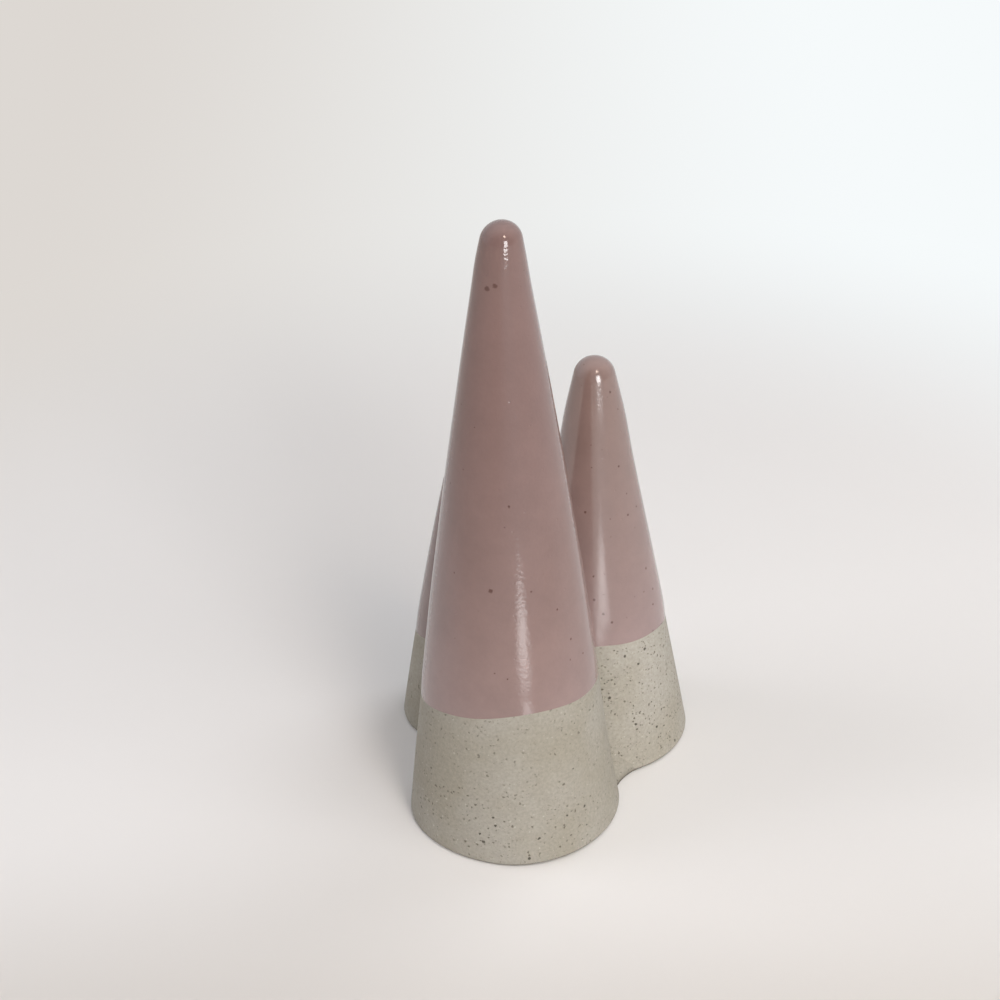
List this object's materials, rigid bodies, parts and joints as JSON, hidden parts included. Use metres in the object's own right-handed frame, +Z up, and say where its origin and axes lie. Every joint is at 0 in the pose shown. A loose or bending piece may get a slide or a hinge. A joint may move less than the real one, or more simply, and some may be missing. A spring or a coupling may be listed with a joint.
{
  "type": "ring cone holder",
  "caption": "Cluster of upright stoneware cones joined at their feet, glazed down to a sloping dip line and bare below, that holds finger rings.",
  "frame": {"origin": "middle of the footprint's upright box, on the surface that the holder stands on", "axes": "+Z up along the cones, +Y from the tall cone in front towards the two cones behind it, +X to the right"},
  "size_m": [0.0688, 0.0786, 0.1514],
  "materials": {
    "clay": "bare speckled stoneware, matt",
    "glaze": "dusty pink satin glaze with iron specks",
    "luting_clay": "bare speckled stoneware, smoothed by hand"
  },
  "bodies": {
    "root": {"tall_cone": "clay", "medium_cone": "clay", "short_cone": "clay", "tall_cone_glaze": "glaze", "medium_cone_glaze": "glaze", "short_cone_glaze": "glaze", "tall_medium_seam": "luting_clay", "tall_short_seam": "luting_clay", "medium_short_seam": "luting_clay"}
  },
  "joints": []
}
